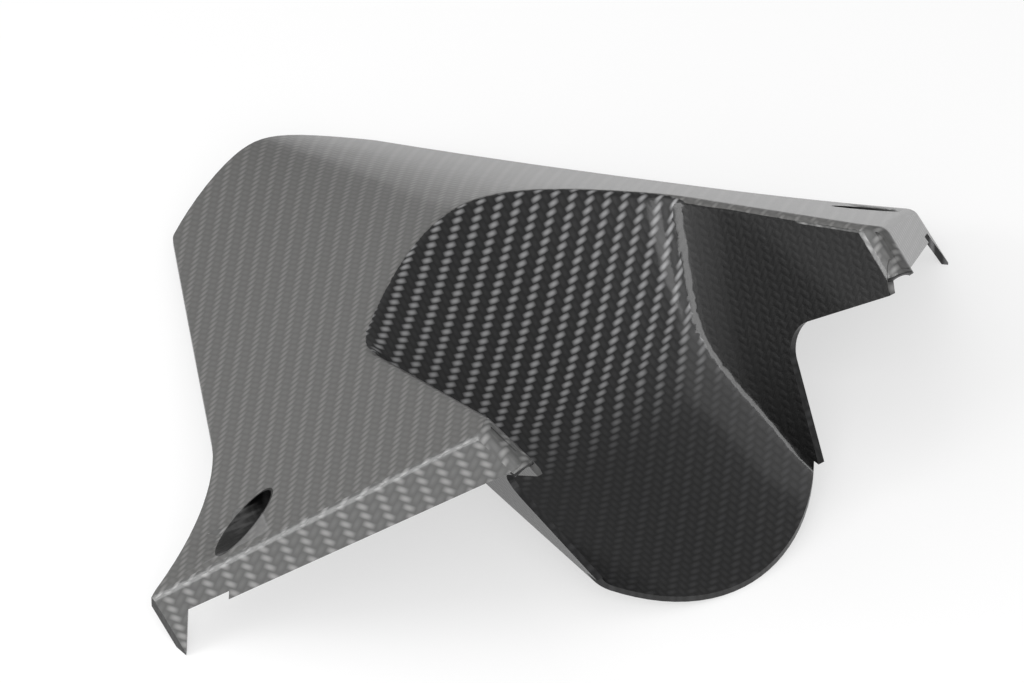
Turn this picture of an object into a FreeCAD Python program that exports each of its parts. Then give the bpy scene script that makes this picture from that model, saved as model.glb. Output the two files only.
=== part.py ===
import FreeCAD, Part
import math
import os

from FreeCAD import Vector

# Rear fender of a motorcycle: one moulded carbon shell.
# X is across the bike, Y runs to the rear, Z is up, and the shell rests on the plane Z = 0.

SIZES = {
    # the laminate
    "wall": 2.0,
    # the top: a roof of two flat arms whose ridge is rounded, more tightly at the rear
    "ridge_height": 95.5,
    "ridge_slope": 0.459,
    "side_slope": 0.552,
    "ridge_round": 28.0,
    "rear_ridge_round": 12.0,
    "rounding_start": 50.0,
    # the plan of the top
    "rear_edge": 149.0,
    "rear_corner_place": 139.0,
    "rear_half_width": 38.6,
    "rear_corner_radius": 5.0,
    "waist_half_width": 95.5,
    "waist_place": 42.5,
    "hollow_half_width": 116.1,
    "hollow_place": 19.9,
    "tip_half_width": 143.5,
    "tip_place": 7.2,
    "nose_half_width": 70.2,
    "nose_place": -60.5,
    # the turned-down flange along the front of each arm
    "nose_depth": 13.0,
    "tip_depth": 9.5,
    "flange_lean": 33.0,
    "lug_width": 11.0,
    "notch_length": 12.0,
    "notch_depth": 2.0,
    # the chute
    "crease_half_width": 38.2,
    "crease_height": 10.0,
    "wall_draft": 24.0,
    "foot_place": -8.0,
    "foot_height": 12.9,
    "foot_softness": 5.0,
    "tongue_slope": 0.14,
    "back_slope": 0.855,
    "dish_radius": 110.0,
    # the radii of the bends, on the outer face
    "fold_radius": 5.0,
    "rim_radius": 2.5,
    "nose_radius": 5.0,
    "crease_radius": 2.5,
    "corner_radius": 20.0,
    # the tongue and the cut fronts of the side walls
    "tongue_end": -85.0,
    "tongue_radius": 55.0,
    "skirt_step_place": -65.2,
    "skirt_step_height": 74.0,
    "skirt_top_place": -71.4,
    "skirt_top_height": 66.8,
    "throat_place": -39.0,
    "throat_height": 40.0,
    "throat_radius": 8.0,
    "toe_place": -69.5,
    "toe_height": 14.6,
    # the bolt pocket of each arm
    "pocket_width": 10.5,
    "pocket_end": 103.0,
    "pocket_place": -1.0,
    "pocket_height": 30.0,
    "pocket_length": 34.0,
    "bolt_bore": 6.4,
}

# how far the tool bodies reach past the part, and the step of the face grids
REACH = 200.0
MARGIN = 4.0
GRID = 9
# how close the middle of an edge lies to a face that it runs along
NEAR = 0.3

doc = FreeCAD.newDocument("RearFender")
sheet = doc.addObject("Spreadsheet::Sheet", "Sizes")
for row, (name, value) in enumerate(SIZES.items(), start=1):
    sheet.set("A%d" % row, name)
    sheet.set("B%d" % row, str(value))
    sheet.setAlias("B%d" % row, name)
doc.recompute()


def size(name):
    return float(sheet.get(name))


def ridge_round_at(y):
    start = size("rounding_start")
    share = max(y - start, 0.0) / (size("rear_edge") - start)
    return size("ridge_round") + (size("rear_ridge_round") - size("ridge_round")) * share ** 2


def top_height(x, y):
    spread_x = math.hypot(x, ridge_round_at(y))
    return size("ridge_height") - size("ridge_slope") * y - size("side_slope") * spread_x


def floor_height(x, y):
    run = y - size("foot_place")
    soft = size("foot_softness")
    rise = soft * math.log(1 + math.exp(run / soft))
    steep = size("back_slope") - size("tongue_slope")
    dish = x * x / (2 * size("dish_radius"))
    return size("foot_height") + size("tongue_slope") * run + steep * rise + dish


def spread(first, last, count):
    return [first + (last - first) * i / (count - 1) for i in range(count)]


def height_face(height, xs, ys):
    grid = [[Vector(x, y, height(x, y)) for y in ys] for x in xs]
    surface = Part.BSplineSurface()
    surface.interpolate(grid)
    return surface.toShape()


def polygon_face(points):
    return Part.Face(Part.makePolygon(points + points[:1]))


def both_sides(shape):
    return shape.fuse(shape.mirror(Vector(0, 0, 0), Vector(1, 0, 0)))


# the top of the shell as one arched face
def top_face():
    half = size("tip_half_width") + MARGIN
    front = size("tongue_end") - 2 * MARGIN
    back = size("rear_edge") + MARGIN
    return height_face(top_height, spread(-half, half, 3 * GRID), spread(front, back, 2 * GRID))


# the chute's floor, which bends up into its bowed rear wall
def floor_face():
    half = size("nose_half_width") + 2 * MARGIN
    front = size("tongue_end") - MARGIN
    back = size("waist_place") + 6 * MARGIN
    return height_face(floor_height, spread(-half, half, GRID), spread(front, back, 3 * GRID))


def point(word):
    return Vector(size(word + "_half_width"), size(word + "_place"), 0)


def other(p):
    return Vector(-p.x, p.y, p.z)


# the plan of the top: straight rear sides, then a hollow arc to each tip
def top_plan():
    rear = Vector(size("rear_half_width"), size("rear_corner_place"), 0)
    waist = point("waist")
    tip = point("tip")
    front = Vector(tip.x, size("tongue_end") - MARGIN, 0)
    edges = [
        Part.Arc(other(rear), Vector(0, size("rear_edge"), 0), rear).toShape(),
        Part.LineSegment(rear, waist).toShape(),
        Part.Arc(waist, point("hollow"), tip).toShape(),
        Part.LineSegment(tip, front).toShape(),
        Part.LineSegment(front, other(front)).toShape(),
        Part.LineSegment(other(front), other(tip)).toShape(),
        Part.Arc(other(tip), other(point("hollow")), other(waist)).toShape(),
        Part.LineSegment(other(waist), other(rear)).toShape(),
    ]
    plan = Part.Face(Part.Wire(edges))
    plan.translate(Vector(0, 0, -REACH))
    block = plan.extrude(Vector(0, 0, 2 * REACH))
    corners = []
    for edge in block.Edges:
        p = middle(edge)
        if abs(p.y - rear.y) < NEAR and abs(abs(p.x) - rear.x) < NEAR:
            corners.append(edge)
    return block.makeFillet(size("rear_corner_radius"), corners)


def middle(edge):
    return edge.valueAt((edge.FirstParameter + edge.LastParameter) / 2)


# the directions of the right flange: along its fold, level outwards, and square to its face
def flange_axes():
    nose = point("nose")
    tip = point("tip")
    level = (tip - nose).normalize()
    outward = Vector(level.y, -level.x, 0)
    nose.z = top_height(nose.x, nose.y)
    tip.z = top_height(tip.x, tip.y)
    along = (tip - nose).normalize()
    lean = math.radians(size("flange_lean"))
    down = outward * math.sin(lean) - Vector(0, 0, math.cos(lean))
    normal = along.cross(down).normalize()
    if normal.dot(outward) < 0:
        normal = normal * -1
    return nose, tip, along, level, outward, down, normal


# everything in front of the flange's face, or of a face that lies deeper
def front_space(depth):
    nose, tip, along, level, outward, down, normal = flange_axes()
    start = nose - normal * depth
    corners = [(-1, -1), (1, -1), (1, 1), (-1, 1)]
    points = [start + along * (REACH * a) + down * (REACH * d) for a, d in corners]
    return both_sides(polygon_face(points).extrude(normal * REACH))


# everything under the flange's lower edge, which has a notch and a lug at the tip
def flange_under():
    nose, tip, along, level, outward, down, normal = flange_axes()
    length = (point("tip") - point("nose")).Length
    nose_low = nose.z - size("nose_depth")
    tip_low = tip.z - size("tip_depth")
    lug = length - size("lug_width")
    notch = lug - size("notch_length")

    def place(run, height):
        return point("nose") + level * run + Vector(0, 0, height)

    def line(run):
        return nose_low + (tip_low - nose_low) * run / length

    outline = [
        place(-length, -REACH),
        place(-length, line(-length)),
        place(notch, line(notch)),
        place(notch, line(notch) + size("notch_depth")),
        place(lug, line(lug) + size("notch_depth")),
        place(lug, 0),
        place(length + MARGIN, 0),
        place(length + MARGIN, -REACH),
    ]
    inward = 3 * size("nose_depth")
    block = polygon_face([p - outward * inward for p in outline]).extrude(outward * REACH)
    right = Part.makeBox(REACH, 2 * REACH, 2 * REACH, Vector(0, -REACH, -REACH))
    return both_sides(block.common(right))


def wall_place(z):
    draft = math.tan(math.radians(size("wall_draft")))
    return size("crease_half_width") + draft * (z - size("crease_height"))


# the space between the leaning side walls and above the floor, with rounded creases
def tub(layer):
    low = -2 * size("crease_height")
    side = layer / math.cos(math.radians(size("wall_draft")))
    front = size("tongue_end") - REACH
    section = [
        Vector(-wall_place(low) - side, front, low),
        Vector(wall_place(low) + side, front, low),
        Vector(wall_place(REACH) + side, front, REACH),
        Vector(-wall_place(REACH) - side, front, REACH),
    ]
    trough = polygon_face(section).extrude(Vector(0, 2 * REACH, 0))
    above = floor.extrude(Vector(0, 0, REACH))
    above.translate(Vector(0, 0, -layer))
    space = trough.common(above)
    creases = []
    for edge in space.Edges:
        p = middle(edge)
        on_wall = abs(abs(p.x) - wall_place(p.z) - side) < NEAR
        if on_wall and abs(p.z - floor_height(p.x, p.y) + layer) < NEAR:
            creases.append(edge)
    return space.makeFillet(size("crease_radius") + layer, size("corner_radius") + layer, creases)


# what is cut away in front of the side walls, as seen from the side
def skirt_cut():
    points = [
        Vector(-REACH, -REACH, size("toe_height")),
        Vector(-REACH, size("toe_place"), size("toe_height")),
        Vector(-REACH, size("throat_place"), size("throat_height")),
        Vector(-REACH, size("skirt_top_place"), size("skirt_top_height")),
        Vector(-REACH, size("skirt_step_place"), size("skirt_step_height")),
        Vector(-REACH, -REACH, size("skirt_step_height")),
    ]
    block = polygon_face(points).extrude(Vector(2 * REACH, 0, 0))
    throat = [e for e in block.Edges if abs(e.CenterOfMass.y - size("throat_place")) < NEAR]
    return block.makeFillet(size("throat_radius"), throat)


# the rounded end of the tongue, in plan
def tongue_cut():
    radius = size("tongue_radius")
    centre = size("tongue_end") + radius
    high = size("toe_height")
    block = Part.makeBox(2 * REACH, REACH, REACH + high, Vector(-REACH, centre - REACH, -REACH))
    return block.cut(Part.makeCylinder(radius, REACH + high, Vector(0, centre, -REACH)))


def add_shape(name, shape):
    feature = doc.addObject("Part::Feature", name)
    feature.Shape = shape
    return feature


# which bend an edge lies on, found by the faces that meet there, a layer under the outer ones
def bend_name(edge, layer):
    nose, tip, along, level, outward, down, normal = flange_axes()
    p = middle(edge)
    right = Vector(abs(p.x), p.y, p.z)
    on_top = abs(p.z + layer - top_height(p.x, p.y)) < NEAR
    on_front = abs((right - nose).dot(normal) + layer) < NEAR
    on_wall = abs(right.x - wall_place(p.z)) < NEAR
    within = right.x < tip.x and size("tongue_end") < p.y < size("rear_edge")
    if on_top and on_front and within:
        return "fold"
    if on_top and within:
        return "rim"
    if on_front and on_wall:
        return "nose"
    return None


# rounds the bends of a space by the sheet's radii, less the layer that lies on them
def add_rounded(name, base, layer, words):
    rounded = doc.addObject("Part::Fillet", name)
    rounded.Base = base
    bends = []
    for number, edge in enumerate(base.Shape.Edges, start=1):
        word = bend_name(edge, layer)
        if word in words:
            radius = size(word + "_radius") - layer
            bends.append((number, radius, radius))
    rounded.Edges = bends
    doc.recompute()
    return rounded


def add_cut(name, base, tool):
    feature = doc.addObject("Part::Cut", name)
    feature.Base = base
    feature.Tool = tool
    return feature


# a cylinder across the bike, from a distance outwards on one side
def add_cross_cylinder(name, side, radius, start, length):
    cylinder = doc.addObject("Part::Cylinder", name)
    cylinder.Placement = FreeCAD.Placement(Vector(0, 0, 0), FreeCAD.Rotation(Vector(0, 1, 0), 90 * side))
    cylinder.setExpression("Radius", radius)
    cylinder.setExpression("Height", length)
    cylinder.setExpression("Placement.Base.x", "(%s) * %d" % (start, side))
    cylinder.setExpression("Placement.Base.y", "Sizes.pocket_place")
    cylinder.setExpression("Placement.Base.z", "Sizes.pocket_height")
    return cylinder


top = top_face()
floor = floor_face()
wall = size("wall")
inside = tub(0.0)
outside = tub(wall)
above_top = top.extrude(Vector(0, 0, REACH))
below_top = top.translated(Vector(0, 0, -2 * REACH)).extrude(Vector(0, 0, 2 * REACH - wall))

# the shell is what the spaces over and under it leave of the plan
plan = add_shape("Plan", top_plan())
over = add_shape("Over", above_top.fuse([inside, front_space(0.0)]).removeSplitter())
under = add_shape("Under", below_top.cut(outside).cut(front_space(wall)))
over_rounded = add_rounded("OverRounded", over, 0.0, ("fold", "rim", "nose"))
under_rounded = add_rounded("UnderRounded", under, wall, ("fold",))
shell = add_cut("Shell", add_cut("PlanUnderTop", plan, over_rounded), under_rounded)

# the free edges of the side walls, the tongue and the flanges
skirt = add_shape("SkirtSpace", skirt_cut().common(outside))
tongue = add_shape("TongueSpace", tongue_cut().common(outside))
flange = add_shape("FlangeSpace", flange_under().cut(outside))
blank = add_cut("ShellTrimmed", add_cut("ShellOnTongue", add_cut("ShellSkirted", shell, skirt), tongue), flange)

bosses = []
hollows = []
for side, word in ((-1, "Left"), (1, "Right")):
    boss = add_cross_cylinder(
        word + "Boss",
        side,
        "Sizes.pocket_width / 2 + Sizes.wall",
        "Sizes.pocket_end - Sizes.wall",
        "Sizes.pocket_length",
    )
    bosses.append(add_cut(word + "BossTrimmed", boss, over_rounded))
    hollows.append(
        add_cross_cylinder(
            word + "Pocket", side, "Sizes.pocket_width / 2", "Sizes.pocket_end", "Sizes.pocket_length"
        )
    )
    hollows.append(
        add_cross_cylinder(
            word + "Bolt",
            side,
            "Sizes.bolt_bore / 2",
            "Sizes.pocket_end - 2 * Sizes.wall",
            "3 * Sizes.wall",
        )
    )

joined = doc.addObject("Part::MultiFuse", "Joined")
joined.Shapes = [blank] + bosses
cutters = doc.addObject("Part::MultiFuse", "Hollows")
cutters.Shapes = hollows
fender = add_cut("Fender", joined, cutters)
fender.Label = "fender_shell"
# the origin lies under the middle of the whole length
fender.setExpression("Placement.Base.y", "-(Sizes.rear_edge + Sizes.tongue_end) / 2")
doc.recompute()

for item in doc.Objects:
    if "Invalid" in item.State or "Error" in item.State:
        raise RuntimeError("failed: " + item.Name)
if fender.Shape.isNull() or not fender.Shape.isValid():
    raise RuntimeError("bad shape: " + fender.Label)
print(fender.Label, len(fender.Shape.Solids), fender.Shape.Volume)

os.makedirs("parts", exist_ok=True)
fender.Shape.exportStep("parts/%s.step" % fender.Label)
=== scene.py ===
import math

import bmesh
import bpy
import numpy as np
from mathutils import Matrix, Vector


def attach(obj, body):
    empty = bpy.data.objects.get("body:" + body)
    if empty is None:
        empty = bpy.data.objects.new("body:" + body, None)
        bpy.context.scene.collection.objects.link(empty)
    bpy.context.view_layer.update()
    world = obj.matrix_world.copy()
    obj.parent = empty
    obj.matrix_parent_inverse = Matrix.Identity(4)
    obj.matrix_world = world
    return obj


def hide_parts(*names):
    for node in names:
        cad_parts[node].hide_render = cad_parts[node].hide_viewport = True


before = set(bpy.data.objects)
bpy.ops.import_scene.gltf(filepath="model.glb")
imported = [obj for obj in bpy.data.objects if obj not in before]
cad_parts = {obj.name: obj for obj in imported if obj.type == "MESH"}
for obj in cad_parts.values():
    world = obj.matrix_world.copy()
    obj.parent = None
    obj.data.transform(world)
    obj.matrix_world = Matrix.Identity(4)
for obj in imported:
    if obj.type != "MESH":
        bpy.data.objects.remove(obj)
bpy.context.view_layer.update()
shell = bpy.data.objects["fender_shell"]
print("stage: frame loaded")


# small helpers for node trees

def addNode(tree, kind, place, **settings):
    node = tree.nodes.new(kind)
    node.location = place
    for name, value in settings.items():
        setattr(node, name, value)
    return node


def join(tree, source, target):
    tree.links.new(source, target)


def mathNode(tree, operation, place, *inputs):
    node = addNode(tree, "ShaderNodeMath", place, operation=operation)
    for socket, value in zip(node.inputs, inputs):
        if hasattr(value, "is_output"):
            join(tree, value, socket)
        else:
            socket.default_value = value
    return node.outputs[0]


def chooseValue(tree, switch, off, on, place):
    mix = addNode(tree, "ShaderNodeMix", place, data_type="FLOAT")
    join(tree, switch, mix.inputs["Factor"])
    join(tree, off, mix.inputs["A"])
    join(tree, on, mix.inputs["B"])
    return mix.outputs["Result"]


def chooseColour(tree, switch, off, on, place):
    mix = addNode(tree, "ShaderNodeMix", place, data_type="RGBA")
    join(tree, switch, mix.inputs["Factor"])
    for name, value in (("A", off), ("B", on)):
        socket = [s for s in mix.inputs if s.name == name and s.type == "RGBA"][0]
        if hasattr(value, "is_output"):
            join(tree, value, socket)
        else:
            socket.default_value = value
    return [s for s in mix.outputs if s.type == "RGBA"][0]


# the twill: flat coordinates in metres go in,
# and which tow is on top and how its float bulges come out
twill = {
    "towWidth": 0.002,
    "repeat": 4.0,
    "over": 2.0,
    "roundness": 1.1,
}


def buildTwill():
    group = bpy.data.node_groups.new("twillWeave", "ShaderNodeTree")
    group.interface.new_socket("across", in_out="INPUT", socket_type="NodeSocketFloat")
    group.interface.new_socket("along", in_out="INPUT", socket_type="NodeSocketFloat")
    group.interface.new_socket("warp", in_out="OUTPUT", socket_type="NodeSocketFloat")
    group.interface.new_socket("bulge", in_out="OUTPUT", socket_type="NodeSocketFloat")
    source = addNode(group, "NodeGroupInput", (-900, 0))
    result = addNode(group, "NodeGroupOutput", (1500, 0))
    u = mathNode(group, "DIVIDE", (-700, 100), source.outputs[0], twill["towWidth"])
    v = mathNode(group, "DIVIDE", (-700, -100), source.outputs[1], twill["towWidth"])
    column = mathNode(group, "FLOOR", (-500, 100), u)
    row = mathNode(group, "FLOOR", (-500, -100), v)
    step = mathNode(group, "SUBTRACT", (-300, 0), column, row)
    phase = mathNode(group, "FLOORED_MODULO", (-100, 0), step, twill["repeat"])
    warp = mathNode(group, "LESS_THAN", (100, 0), phase, twill["over"])
    uPart = mathNode(group, "FRACT", (-300, 300), u)
    vPart = mathNode(group, "FRACT", (-300, -300), v)
    warpEnd = mathNode(group, "ADD", (100, 400), phase, 1.0)
    warpRun = mathNode(group, "SUBTRACT", (300, 400), warpEnd, vPart)
    weftStart = mathNode(group, "SUBTRACT", (100, -400), phase, twill["over"])
    weftRun = mathNode(group, "ADD", (300, -400), weftStart, uPart)
    width = chooseValue(group, warp, vPart, uPart, (500, 200))
    run = chooseValue(group, warp, weftRun, warpRun, (500, -200))
    widthTurn = mathNode(group, "MULTIPLY", (700, 200), width, math.pi)
    runTurn = mathNode(group, "MULTIPLY", (700, -200), run, math.pi / twill["over"])
    widthArch = mathNode(group, "SINE", (900, 200), widthTurn)
    runArch = mathNode(group, "SINE", (900, -200), runTurn)
    arch = mathNode(group, "MULTIPLY", (1100, 0), widthArch, runArch)
    bulge = mathNode(group, "POWER", (1300, 0), arch, twill["roundness"])
    join(group, warp, result.inputs["warp"])
    join(group, bulge, result.inputs["bulge"])
    return group


# the laminate: each flat of the shell carries its own cloth, laid along that flat; the cloth on
# each flat is the same carbon, painted lighter or darker by how the light falls there
carbon = {
    # the chute's carbon: dark gaps between the tows, and the weft painted bright as the tows'
    # glints: painted sheen
    "gap": (0.007, 0.007, 0.0072, 1),
    "warp": (0.016, 0.016, 0.0165, 1),
    "weft": (0.230, 0.230, 0.234, 1),
    # painted shade: a darker weft for the chute's side walls and the tongue
    "shadedWeft": (0.024, 0.024, 0.025, 1),
    # painted light: a lit copy of the carbon for the roof, lighter because the light falls on it
    "litRoofGap": (0.078, 0.077, 0.075, 1),
    "litRoofWarp": (0.098, 0.097, 0.095, 1),
    "litRoofWeft": (0.142, 0.140, 0.137, 1),
    # painted light: a lit copy of the carbon for the flange, which faces the lamps
    "litFlangeGap": (0.070, 0.070, 0.069, 1),
    "litFlangeWarp": (0.090, 0.090, 0.089, 1),
    "litFlangeWeft": (0.190, 0.189, 0.187, 1),
    "roofStretch": (1.14, 1.10),
    "rearWallStretch": 1.316,
    "sideWallStretch": 1.09,
    "sideWallFacing": 0.75,
    "roofFacing": 0.1,
    "footPlace": -0.040,
    # painted shade: the weft darkens between these two depths, towards the front
    "tongueShadeFade": (-0.026, -0.062),
    "chuteHalfWidth": 0.064,
    "flangeRise": 0.45,
    "dark": (0.0, 0.0, 0.0, 1),
    "wallShade": 0.97,
    "pocketLine": (-0.033, 0.030),
    "pocketRadius": 0.0056,
    "pocketShade": 0.9,
    "towRoughness": 0.45,
    "towShine": 0.25,
    "coatWeight": 0.4,
    "coatRoughness": 0.12,
    "bumpDistance": 0.00006,
}


def buildCarbon():
    material = bpy.data.materials.new("carbonTwill")
    material.use_nodes = True
    tree = material.node_tree
    tree.nodes.clear()
    group = buildTwill()
    coordinates = addNode(tree, "ShaderNodeTexCoord", (-1600, 0))
    xyz = addNode(tree, "ShaderNodeSeparateXYZ", (-1400, 0))
    join(tree, coordinates.outputs["Object"], xyz.inputs[0])
    facing = addNode(tree, "ShaderNodeSeparateXYZ", (-1400, -400))
    join(tree, coordinates.outputs["Normal"], facing.inputs[0])
    x, y, z = xyz.outputs
    side = mathNode(tree, "ABSOLUTE", (-1200, -400), facing.outputs[0])
    isWall = mathNode(tree, "GREATER_THAN", (-1000, -400), side, carbon["sideWallFacing"])
    isChute = mathNode(tree, "LESS_THAN", (-1000, -600), facing.outputs[1], carbon["roofFacing"])
    isInner = mathNode(tree, "MAXIMUM", (-800, -500), isWall, isChute)
    offMiddle = mathNode(tree, "ABSOLUTE", (-1200, -900), x)
    isOutside = mathNode(tree, "GREATER_THAN", (-1000, -900), offMiddle, carbon["chuteHalfWidth"])
    rise = facing.outputs[2]
    isRaised = mathNode(tree, "GREATER_THAN", (-1200, -1050), rise, carbon["flangeRise"])
    isFront = mathNode(tree, "MULTIPLY", (-1000, -1050), isRaised, isChute)
    isFlange = mathNode(tree, "MULTIPLY", (-800, -900), isOutside, isFront)
    notFlange = mathNode(tree, "SUBTRACT", (-800, -1050), 1.0, isFlange)
    isChuteWall = mathNode(tree, "MULTIPLY", (-600, -900), isWall, notFlange)
    # painted shade: the weft darkens on the chute's side walls and over the tongue, towards the
    # front
    tongueShadeShare = addNode(tree, "ShaderNodeMapRange", (-1000, -750))
    tongueShadeShare.interpolation_type = "SMOOTHSTEP"
    join(tree, y, tongueShadeShare.inputs["Value"])
    tongueShadeShare.inputs["From Min"].default_value = carbon["tongueShadeFade"][0]
    tongueShadeShare.inputs["From Max"].default_value = carbon["tongueShadeFade"][1]
    inWeftShade = mathNode(tree, "MAXIMUM", (-600, -700), isChuteWall, tongueShadeShare.outputs[0])
    roofAcross = mathNode(tree, "MULTIPLY", (-1200, 300), x, carbon["roofStretch"][0])
    roofAlong = mathNode(tree, "MULTIPLY", (-1200, 150), y, carbon["roofStretch"][1])
    # the cloth runs on from the tongue into the steep rear wall without a break
    rearAlong = mathNode(tree, "MULTIPLY", (-1200, 0), y, carbon["rearWallStretch"])
    tongueShift = (carbon["rearWallStretch"] - 1) * carbon["footPlace"]
    tongueAlong = mathNode(tree, "ADD", (-1200, -150), y, tongueShift)
    chuteAlong = mathNode(tree, "MAXIMUM", (-1000, 0), rearAlong, tongueAlong)
    wallAlong = mathNode(tree, "MULTIPLY", (-1000, -250), z, carbon["sideWallStretch"])
    across = chooseValue(tree, isChute, roofAcross, x, (-600, 200))
    along = chooseValue(tree, isChute, roofAlong, chuteAlong, (-600, 0))
    across = chooseValue(tree, isWall, across, y, (-400, 200))
    along = chooseValue(tree, isWall, along, wallAlong, (-400, 0))
    weave = addNode(tree, "ShaderNodeGroup", (-200, 100))
    weave.node_tree = group
    join(tree, across, weave.inputs[0])
    join(tree, along, weave.inputs[1])
    innerWeft = chooseColour(tree, inWeftShade, carbon["weft"], carbon["shadedWeft"], (-200, 600))
    # painted light and shade: roof, chute and flange take lit and shaded copies of the same
    # carbon
    weftColour = chooseColour(tree, isInner, carbon["litRoofWeft"], innerWeft, (0, 600))
    warpColour = chooseColour(tree, isInner, carbon["litRoofWarp"], carbon["warp"], (0, 400))
    gapColour = chooseColour(tree, isInner, carbon["litRoofGap"], carbon["gap"], (0, 200))
    # painted light: the flange takes its lit copy of the carbon
    weftColour = chooseColour(tree, isFlange, weftColour, carbon["litFlangeWeft"], (200, 600))
    warpColour = chooseColour(tree, isFlange, warpColour, carbon["litFlangeWarp"], (200, 400))
    gapColour = chooseColour(tree, isFlange, gapColour, carbon["litFlangeGap"], (200, 200))
    # the twill pattern is the cloth's own; its bright tows and the brightening towards each
    # float's crown are painted sheen over the dark gaps
    towColour = chooseColour(tree, weave.outputs["warp"], weftColour, warpColour, (400, 500))
    colour = chooseColour(tree, weave.outputs["bulge"], gapColour, towColour, (600, 300))
    # little light gets into the bolt pockets and onto the chute's side walls
    pocketY = mathNode(tree, "SUBTRACT", (-600, -1200), y, carbon["pocketLine"][0])
    pocketZ = mathNode(tree, "SUBTRACT", (-600, -1350), z, carbon["pocketLine"][1])
    pocketSquareY = mathNode(tree, "MULTIPLY", (-400, -1200), pocketY, pocketY)
    pocketSquareZ = mathNode(tree, "MULTIPLY", (-400, -1350), pocketZ, pocketZ)
    fromLine = mathNode(tree, "ADD", (-200, -1250), pocketSquareY, pocketSquareZ)
    nearLine = mathNode(tree, "LESS_THAN", (0, -1250), fromLine, carbon["pocketRadius"] ** 2)
    isPocket = mathNode(tree, "MULTIPLY", (200, -1250), nearLine, isOutside)
    pocketShade = mathNode(tree, "MULTIPLY", (400, -1250), isPocket, carbon["pocketShade"])
    wallShade = mathNode(tree, "MULTIPLY", (400, 100), isChuteWall, carbon["wallShade"])
    shade = mathNode(tree, "MAXIMUM", (600, 100), wallShade, pocketShade)
    colour = chooseColour(tree, shade, colour, carbon["dark"], (750, 300))
    bump = addNode(tree, "ShaderNodeBump", (600, -200))
    bump.inputs["Distance"].default_value = carbon["bumpDistance"]
    join(tree, weave.outputs["bulge"], bump.inputs["Height"])
    surface = addNode(tree, "ShaderNodeBsdfPrincipled", (900, 100))
    surface.inputs["Specular IOR Level"].default_value = carbon["towShine"]
    surface.inputs["Roughness"].default_value = carbon["towRoughness"]
    surface.inputs["Coat Weight"].default_value = carbon["coatWeight"]
    surface.inputs["Coat Roughness"].default_value = carbon["coatRoughness"]
    join(tree, colour, surface.inputs["Base Color"])
    join(tree, bump.outputs["Normal"], surface.inputs["Normal"])
    output = addNode(tree, "ShaderNodeOutputMaterial", (1200, 100))
    join(tree, surface.outputs[0], output.inputs["Surface"])
    return material


carbonTwill = buildCarbon()
print("stage: carbon")


# the skin: the solid's own surface with its triangles joined,
# so that light runs smoothly over the bends
skin = {"joinDistance": 0.000002, "sharpAngle": math.radians(27.0)}


def buildSkin():
    mesh = shell.data.copy()
    mesh.name = "fenderSkin"
    joined = bmesh.new()
    joined.from_mesh(mesh)
    bmesh.ops.remove_doubles(joined, verts=joined.verts, dist=skin["joinDistance"])
    joined.to_mesh(mesh)
    joined.free()
    mesh.shade_smooth()
    mesh.set_sharp_from_angle(angle=skin["sharpAngle"])
    mesh.materials.clear()
    mesh.materials.append(carbonTwill)
    piece = bpy.data.objects.new("fenderSkin", mesh)
    bpy.context.collection.objects.link(piece)
    weighted = piece.modifiers.new("weighted", "WEIGHTED_NORMAL")
    weighted.keep_sharp = True
    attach(piece, "root")
    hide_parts("fender_shell")


buildSkin()
print("stage: skin")


# the bend at each nose, where the flange turns into the chute's wall:
# an arc carried down their meeting line, which covers a slit in the solid
noseBend = {
    "nose": (0.0702, -0.0925, 0.0815),
    "tip": (0.1435, -0.0248, 0.0115),
    "lean": math.radians(33.0),
    "draft": math.radians(24.0),
    "radius": 0.005,
    "sunk": 0.00004,
    "thickness": 0.0016,
    "wallStart": -0.0007,
    "flangeStart": 0.0,
    "innerStart": -0.0017,
    "end": 0.0046,
    "steps": (12, 16),
}


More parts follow.
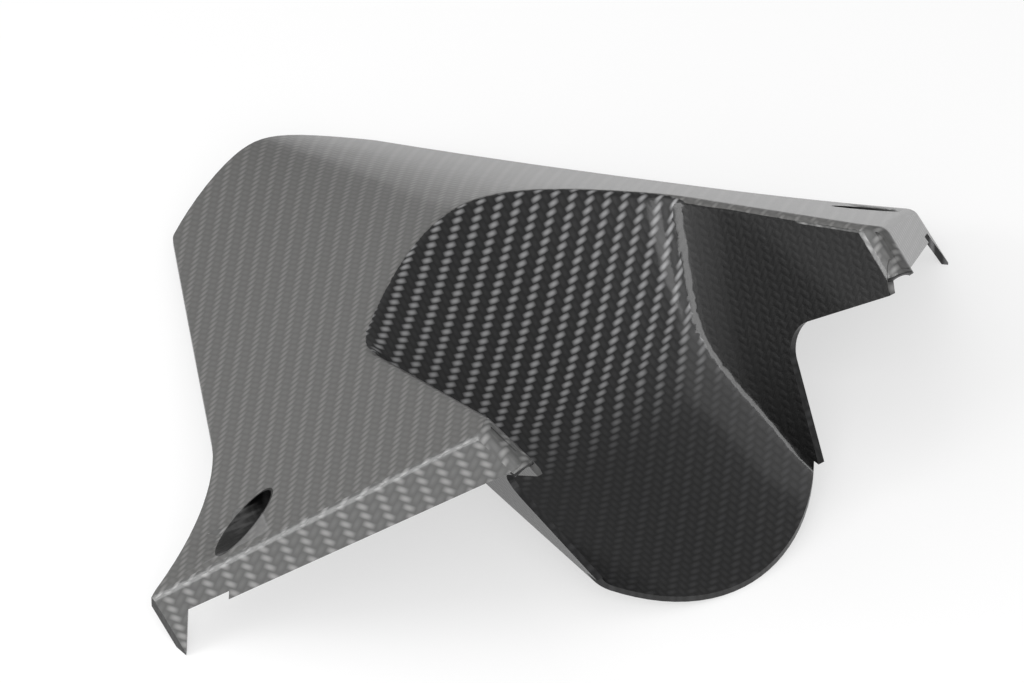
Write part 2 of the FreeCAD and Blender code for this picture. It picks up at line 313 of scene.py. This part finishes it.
def buildNoseBend(side, name):
    nose = np.array(noseBend["nose"])
    along = np.array(noseBend["tip"]) - nose
    outward = np.array((along[1], -along[0], 0.0)) / math.hypot(along[0], along[1])
    down = outward * math.sin(noseBend["lean"]) - np.array((0.0, 0.0, math.cos(noseBend["lean"])))
    front = np.cross(along, down)
    front = front / np.linalg.norm(front)
    front = front * np.sign(front @ outward)
    wall = np.array((math.cos(noseBend["draft"]), 0.0, -math.sin(noseBend["draft"])))
    edge = np.cross(front, wall)
    edge = edge / -edge[2]
    # the arc's centre lies one radius behind both faces
    radius = noseBend["radius"]
    toCentre = np.linalg.solve(np.array((wall, -front, edge)), np.array((radius, radius, 0.0)))
    turn = math.acos(-wall @ front)
    share = np.linspace(0.0, 1.0, noseBend["steps"][1])
    arc = np.outer(np.sin((1 - share) * turn), -wall) + np.outer(np.sin(share * turn), front)
    arc = arc / math.sin(turn)
    outer = arc * (radius - noseBend["sunk"])
    inner = arc[::-1] * (radius - noseBend["thickness"])
    loop = np.concatenate((outer, inner)) + toCentre
    # the bend starts just under the nose's rounded tip
    wallStart, flangeStart = noseBend["wallStart"], noseBend["flangeStart"]
    outerStart = wallStart + (flangeStart - wallStart) * share ** 2
    start = np.concatenate((outerStart, np.full(len(share), noseBend["innerStart"])))
    drop = np.linspace(start, np.full(len(start), noseBend["end"]), noseBend["steps"][0])
    points = nose + drop[:, :, None] * edge + loop[None, :, :]
    points = points.reshape(-1, 3) * np.array((side, 1.0, 1.0))
    rows, columns = noseBend["steps"][0], len(loop)
    row, column = np.meshgrid(np.arange(rows - 1), np.arange(columns), indexing="ij")
    after = (column + 1) % columns
    upper, lower = row * columns, (row + 1) * columns
    quads = np.stack((upper + column, upper + after, lower + after, lower + column), axis=-1)
    faces = quads.reshape(-1, 4).tolist()
    for first in (0, (rows - 1) * columns):
        last = first + columns - 1
        for i in range(len(share) - 1):
            faces.append((first + i, first + i + 1, last - i - 1, last - i))
    mesh = bpy.data.meshes.new(name)
    mesh.from_pydata(points.tolist(), [], faces)
    turned = bmesh.new()
    turned.from_mesh(mesh)
    bmesh.ops.recalc_face_normals(turned, faces=turned.faces)
    turned.to_mesh(mesh)
    turned.free()
    mesh.shade_smooth()
    mesh.materials.append(carbonTwill)
    piece = bpy.data.objects.new(name, mesh)
    bpy.context.collection.objects.link(piece)
    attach(piece, "root")


buildNoseBend(-1.0, "leftNoseBend")
buildNoseBend(1.0, "rightNoseBend")
print("stage: nose bends")


# the pale floor, which the camera and the reflections see as white paper with a soft shadow
floorSettings = {
    "size": 8.0,
    "colour": (0.86, 0.86, 0.86, 1),
    "roughness": 0.9,
    "shine": 0.0,
    "white": 0.6,
}


def buildFloor():
    half = floorSettings["size"] / 2
    corners = [(-half, -half, 0), (half, -half, 0), (half, half, 0), (-half, half, 0)]
    mesh = bpy.data.meshes.new("floor")
    mesh.from_pydata(corners, [], [(0, 1, 2, 3)])
    floor = bpy.data.objects.new("floor", mesh)
    bpy.context.collection.objects.link(floor)
    material = bpy.data.materials.new("paleFloor")
    material.use_nodes = True
    tree = material.node_tree
    surface = tree.nodes["Principled BSDF"]
    surface.inputs["Base Color"].default_value = floorSettings["colour"]
    surface.inputs["Roughness"].default_value = floorSettings["roughness"]
    surface.inputs["Specular IOR Level"].default_value = floorSettings["shine"]
    paper = addNode(tree, "ShaderNodeEmission", (-200, -400))
    path = addNode(tree, "ShaderNodeLightPath", (-900, 0))
    toCamera, toMirror = path.outputs["Is Camera Ray"], path.outputs["Is Glossy Ray"]
    throughGlass = path.outputs["Is Transmission Ray"]
    cameraOrGlossy = mathNode(tree, "MAXIMUM", (-600, 0), toCamera, toMirror)
    seen = mathNode(tree, "MAXIMUM", (-400, 0), cameraOrGlossy, throughGlass)
    share = mathNode(tree, "MULTIPLY", (-200, 0), seen, floorSettings["white"])
    mix = addNode(tree, "ShaderNodeMixShader", (200, -200))
    join(tree, share, mix.inputs["Fac"])
    join(tree, surface.outputs[0], mix.inputs[1])
    join(tree, paper.outputs[0], mix.inputs[2])
    join(tree, mix.outputs[0], tree.nodes["Material Output"].inputs["Surface"])
    mesh.materials.append(material)


buildFloor()


# plain studio light: a pale room, a lamp low at the left, wider ones overhead and in front
light = {
    "roomColour": (1.0, 1.0, 1.0, 1),
    "roomStrength": 0.42,
    "lamps": {
        "sideLamp": {"energy": 13.0, "size": 0.7, "place": (-1.35, 0.5, 0.65)},
        "topLamp": {"energy": 16.0, "size": 2.0, "place": (-0.9, 0.3, 1.9)},
        "frontLamp": {"energy": 24.0, "size": 1.3, "place": (-0.95, -1.2, 1.2)},
    },
}


def buildLight():
    world = bpy.data.worlds.new("room")
    world.use_nodes = True
    back = world.node_tree.nodes["Background"]
    back.inputs["Color"].default_value = light["roomColour"]
    back.inputs["Strength"].default_value = light["roomStrength"]
    bpy.context.scene.world = world
    for name, values in light["lamps"].items():
        lamp = bpy.data.lights.new(name, "AREA")
        lamp.energy = values["energy"]
        lamp.size = values["size"]
        holder = bpy.data.objects.new(name, lamp)
        holder.location = values["place"]
        holder.rotation_euler = Vector(values["place"]).to_track_quat("Z", "Y").to_euler()
        bpy.context.collection.objects.link(holder)


buildLight()
print("stage: floor and light")


# the camera stands at the front left, well above the floor, a long way off
camera = {
    "turn": math.radians(38.5),
    "rise": math.radians(39.0),
    "distance": 2.2,
    "pixelsPerMetre": 3400.0,
    "imageWidth": 1024,
    "imageHeight": 683,
    "tipsPixel": (560.0, 436.0),
    "tipsPlace": (0.0, -0.032, 0.001),
    "sensor": 36.0,
    "clipEnd": 50.0,
}


def buildCamera():
    turn, rise = camera["turn"], camera["rise"]
    right = Vector((math.cos(turn), -math.sin(turn), 0))
    level = math.cos(rise)
    back = Vector((-math.sin(turn) * level, -math.cos(turn) * level, math.sin(rise)))
    up = back.cross(right)
    scale = camera["pixelsPerMetre"]
    toRight = (camera["imageWidth"] / 2 - camera["tipsPixel"][0]) / scale
    toTop = (camera["tipsPixel"][1] - camera["imageHeight"] / 2) / scale
    target = Vector(camera["tipsPlace"]) + right * toRight + up * toTop
    lens = bpy.data.cameras.new("camera")
    lens.sensor_width = camera["sensor"]
    lens.lens = camera["sensor"] * camera["distance"] * scale / camera["imageWidth"]
    lens.clip_end = camera["clipEnd"]
    holder = bpy.data.objects.new("camera", lens)
    axes = Matrix((right, up, back)).transposed()
    holder.matrix_world = Matrix.Translation(target + back * camera["distance"]) @ axes.to_4x4()
    bpy.context.collection.objects.link(holder)
    bpy.context.scene.camera = holder


buildCamera()
bpy.context.scene.view_settings.view_transform = "Standard"
print("stage: camera")
